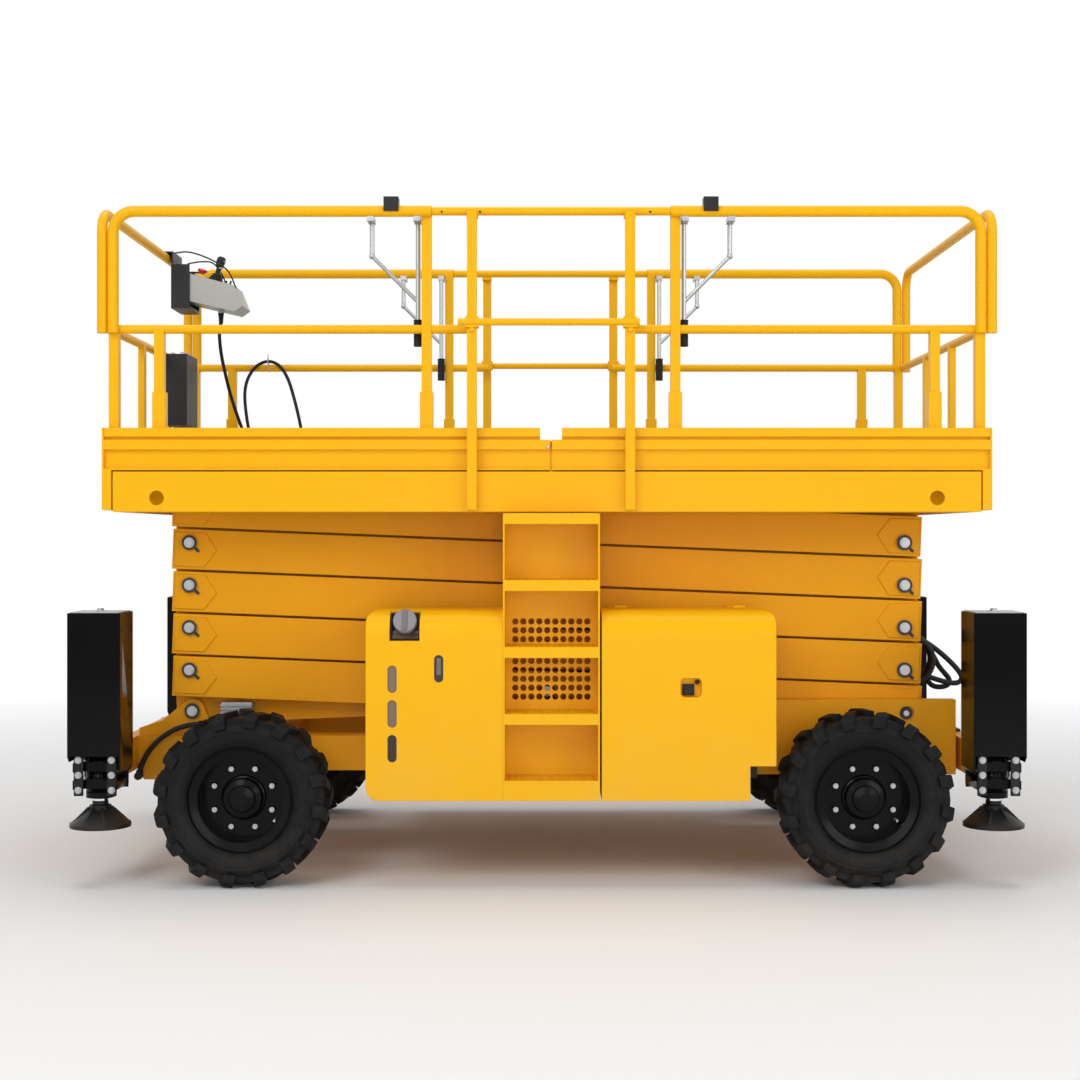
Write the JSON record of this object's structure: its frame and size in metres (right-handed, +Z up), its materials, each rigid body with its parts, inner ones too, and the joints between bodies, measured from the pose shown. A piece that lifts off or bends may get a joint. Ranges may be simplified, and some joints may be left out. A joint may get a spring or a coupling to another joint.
{
  "type": "scissor lift",
  "caption": "Rough-terrain scissor lift: stacked crossed arms raise a railed platform that rolls out at both ends, on lugged wheels with corner jacks.",
  "frame": {"origin": "centre of the bounding box on the ground", "axes": "+X to the rear, away from the steered wheels; +Y to the far side of the picture; +Z up"},
  "size_m": [4.236, 2.25, 3.06],
  "materials": {
    "yellow_paint": "gloss yellow paint",
    "arm_yellow": "deep yellow paint",
    "black_steel": "satin black paint",
    "black_gloss": "gloss black paint",
    "black_plastic": "matte",
    "grey_plastic": "satin",
    "engine": "matte",
    "hose": "matte",
    "bare_alloy": "cast",
    "chrome_rod": "polished",
    "zinc": "zinc plated",
    "tyre": "matte rubber"
  },
  "bodies": {
    "chassis": {"chassis_frame": "yellow_paint", "front_axle": "black_steel", "rear_axle": "black_steel", "access_ladders": "yellow_paint", "front_covers": "yellow_paint", "filler_cap": "black_plastic", "engine_block": "engine", "lashing_eyes": "yellow_paint", "jack_legs": "black_gloss", "hose_loops": "hose", "cooler_box": "bare_alloy"},
    "hood_near": {"hood_near": "yellow_paint"},
    "hood_far": {"hood_far": "yellow_paint"},
    "knuckle_near": {"knuckle_near": "black_steel"},
    "knuckle_far": {"knuckle_far": "black_steel"},
    "tie_rod": {"tie_rod": "black_steel"},
    "steer_rod": {"steer_rod": "chrome_rod"},
    "wheel_front_near": {"tyre_front_near": "tyre", "rim_front_near": "black_steel"},
    "wheel_front_far": {"tyre_front_far": "tyre", "rim_front_far": "black_steel"},
    "wheel_rear_near": {"tyre_rear_near": "tyre", "rim_rear_near": "black_steel"},
    "wheel_rear_far": {"tyre_rear_far": "tyre", "rim_rear_far": "black_steel"},
    "jack_front_near": {"jack_foot_front_near": "black_steel"},
    "jack_front_far": {"jack_foot_front_far": "black_steel"},
    "jack_rear_near": {"jack_foot_rear_near": "black_steel"},
    "jack_rear_far": {"jack_foot_rear_far": "black_steel"},
    "inner_1": {"inner_frame_1": "arm_yellow"},
    "outer_1": {"outer_arms_1": "arm_yellow"},
    "inner_2": {"inner_frame_2": "arm_yellow"},
    "outer_2": {"outer_arms_2": "arm_yellow"},
    "inner_3": {"inner_frame_3": "arm_yellow"},
    "outer_3": {"outer_arms_3": "arm_yellow"},
    "inner_4": {"inner_frame_4": "arm_yellow"},
    "outer_4": {"outer_arms_4": "arm_yellow"},
    "inner_5": {"inner_frame_5": "arm_yellow"},
    "outer_5": {"outer_arms_5": "arm_yellow"},
    "barrel_low": {"lift_barrel_low": "arm_yellow"},
    "rod_low": {"lift_rod_low": "chrome_rod"},
    "barrel_high": {"lift_barrel_high": "arm_yellow"},
    "rod_high": {"lift_rod_high": "chrome_rod"},
    "platform": {"platform_base": "yellow_paint", "slim_rails": "yellow_paint"},
    "entry_near": {"entry_bar_near": "yellow_paint"},
    "entry_far": {"entry_bar_far": "yellow_paint"},
    "front_extension": {"front_deck": "yellow_paint", "front_rails": "yellow_paint", "front_handles": "zinc", "front_stop": "black_plastic", "console_bracket": "black_plastic", "console": "grey_plastic", "document_box": "black_plastic", "control_cable": "hose"},
    "rear_extension": {"rear_deck": "yellow_paint", "rear_rails": "yellow_paint", "rear_handles": "zinc", "rear_stop": "black_plastic"}
  },
  "joints": [
    {"name": "scissor_lift", "type": "hinge", "parent": "chassis", "child": "inner_1", "pos_m": [-1.66, 0, 0.725], "axis": [0, -1, 0], "range_deg": [0, 61.5]},
    {"name": "cross_1", "type": "hinge", "parent": "inner_1", "child": "outer_1", "pos_m": [0, 0, 0.8235], "axis": [0, -1, 0], "range_deg": [-124, 1]},
    {"name": "link_1", "type": "hinge", "parent": "outer_1", "child": "inner_2", "pos_m": [-1.66, 0, 0.922], "axis": [0, -1, 0], "range_deg": [-1, 124]},
    {"name": "cross_2", "type": "hinge", "parent": "inner_2", "child": "outer_2", "pos_m": [0, 0, 1.0205], "axis": [0, -1, 0], "range_deg": [-124, 1]},
    {"name": "link_2", "type": "hinge", "parent": "outer_2", "child": "inner_3", "pos_m": [-1.66, 0, 1.119], "axis": [0, -1, 0], "range_deg": [-1, 124]},
    {"name": "cross_3", "type": "hinge", "parent": "inner_3", "child": "outer_3", "pos_m": [0, 0, 1.2175], "axis": [0, -1, 0], "range_deg": [-124, 1]},
    {"name": "link_3", "type": "hinge", "parent": "outer_3", "child": "inner_4", "pos_m": [-1.66, 0, 1.316], "axis": [0, -1, 0], "range_deg": [-1, 124]},
    {"name": "cross_4", "type": "hinge", "parent": "inner_4", "child": "outer_4", "pos_m": [0, 0, 1.4145], "axis": [0, -1, 0], "range_deg": [-124, 1]},
    {"name": "link_4", "type": "hinge", "parent": "outer_4", "child": "inner_5", "pos_m": [-1.66, 0, 1.513], "axis": [0, -1, 0], "range_deg": [-1, 124]},
    {"name": "cross_5", "type": "hinge", "parent": "inner_5", "child": "outer_5", "pos_m": [0, 0, 1.6115], "axis": [0, -1, 0], "range_deg": [-124, 1]},
    {"name": "platform_level", "type": "hinge", "parent": "outer_5", "child": "platform", "pos_m": [-1.66, 0, 1.71], "axis": [0, -1, 0], "range_deg": [-1, 62.5]},
    {"name": "barrel_swing_low", "type": "hinge", "parent": "inner_1", "child": "barrel_low", "pos_m": [1.24781, 0, 0.89754], "axis": [0, -1, 0], "range_deg": [-131.12, 1]},
    {"name": "rod_slide_low", "type": "slide", "parent": "barrel_low", "child": "rod_low", "axis": [-0.9952, 0, 0.0981], "range_m": [-0.01, 0.7093]},
    {"name": "barrel_swing_high", "type": "hinge", "parent": "inner_3", "child": "barrel_high", "pos_m": [1.24781, 0, 1.29154], "axis": [0, -1, 0], "range_deg": [-131.12, 1]},
    {"name": "rod_slide_high", "type": "slide", "parent": "barrel_high", "child": "rod_high", "axis": [-0.9952, 0, 0.0981], "range_m": [-0.01, 0.7093]},
    {"name": "steer", "type": "hinge", "parent": "chassis", "child": "knuckle_near", "pos_m": [-1.345, -0.8305, 0.385], "axis": [0, 0, 1], "range_deg": [-30, 30]},
    {"name": "steer_far", "type": "hinge", "parent": "chassis", "child": "knuckle_far", "pos_m": [-1.345, 0.8305, 0.385], "axis": [0, 0, 1], "range_deg": [-31, 31]},
    {"name": "tie_rod_pin", "type": "hinge", "parent": "knuckle_near", "child": "tie_rod", "pos_m": [-1.175, -0.8305, 0.385], "axis": [0, 0, 1], "range_deg": [-31, 31]},
    {"name": "steer_rod_slide", "type": "slide", "parent": "chassis", "child": "steer_rod", "axis": [0, 1, 0], "range_m": [-0.09, 0.09]},
    {"name": "wheel_front_near_spin", "type": "hinge", "parent": "knuckle_near", "child": "wheel_front_near", "pos_m": [-1.345, -0.9925, 0.385], "axis": [0, 1, 0], "continuous": true},
    {"name": "wheel_front_far_spin", "type": "hinge", "parent": "knuckle_far", "child": "wheel_front_far", "pos_m": [-1.345, 0.9925, 0.385], "axis": [0, 1, 0], "continuous": true},
    {"name": "wheel_rear_near_spin", "type": "hinge", "parent": "chassis", "child": "wheel_rear_near", "pos_m": [1.405, -0.9925, 0.385], "axis": [0, 1, 0], "continuous": true},
    {"name": "wheel_rear_far_spin", "type": "hinge", "parent": "chassis", "child": "wheel_rear_far", "pos_m": [1.405, 0.9925, 0.385], "axis": [0, 1, 0], "continuous": true},
    {"name": "jack_front_near_slide", "type": "slide", "parent": "chassis", "child": "jack_front_near", "axis": [0, 0, -1], "range_m": [0, 0.42]},
    {"name": "jack_front_far_slide", "type": "slide", "parent": "chassis", "child": "jack_front_far", "axis": [0, 0, -1], "range_m": [0, 0.42]},
    {"name": "jack_rear_near_slide", "type": "slide", "parent": "chassis", "child": "jack_rear_near", "axis": [0, 0, -1], "range_m": [0, 0.42]},
    {"name": "jack_rear_far_slide", "type": "slide", "parent": "chassis", "child": "jack_rear_far", "axis": [0, 0, -1], "range_m": [0, 0.42]},
    {"name": "front_extension_slide", "type": "slide", "parent": "platform", "child": "front_extension", "axis": [-1, 0, 0], "range_m": [0, 1]},
    {"name": "rear_extension_slide", "type": "slide", "parent": "platform", "child": "rear_extension", "axis": [1, 0, 0], "range_m": [0, 1]},
    {"name": "entry_near_slide", "type": "slide", "parent": "platform", "child": "entry_near", "axis": [0, 0, 1], "range_m": [0, 0.42]},
    {"name": "entry_far_slide", "type": "slide", "parent": "platform", "child": "entry_far", "axis": [0, 0, 1], "range_m": [0, 0.42]},
    {"name": "hood_near_hinge", "type": "hinge", "parent": "chassis", "child": "hood_near", "pos_m": [0.6, -0.712, 1.215], "axis": [-1, 0, 0], "range_deg": [0, 70]},
    {"name": "hood_far_hinge", "type": "hinge", "parent": "chassis", "child": "hood_far", "pos_m": [0.6, 0.712, 1.215], "axis": [1, 0, 0], "range_deg": [0, 70]}
  ],
  "couplings": [
    {"joint": "cross_1", "follows": "scissor_lift", "ratio": -2},
    {"joint": "link_1", "follows": "scissor_lift", "ratio": 2},
    {"joint": "cross_2", "follows": "scissor_lift", "ratio": -2},
    {"joint": "link_2", "follows": "scissor_lift", "ratio": 2},
    {"joint": "cross_3", "follows": "scissor_lift", "ratio": -2},
    {"joint": "link_3", "follows": "scissor_lift", "ratio": 2},
    {"joint": "cross_4", "follows": "scissor_lift", "ratio": -2},
    {"joint": "link_4", "follows": "scissor_lift", "ratio": 2},
    {"joint": "cross_5", "follows": "scissor_lift", "ratio": -2},
    {"joint": "platform_level", "follows": "scissor_lift", "ratio": 1},
    {"joint": "barrel_swing_low", "follows": "scissor_lift", "ratio": -2.1157},
    {"joint": "rod_slide_low", "follows": "scissor_lift", "m_per_rad": 0.65148},
    {"joint": "barrel_swing_high", "follows": "scissor_lift", "ratio": -2.1157},
    {"joint": "rod_slide_high", "follows": "scissor_lift", "m_per_rad": 0.65148},
    {"joint": "steer_far", "follows": "steer", "ratio": 1},
    {"joint": "tie_rod_pin", "follows": "steer", "ratio": -1},
    {"joint": "steer_rod_slide", "follows": "steer", "m_per_rad": 0.16234}
  ]
}
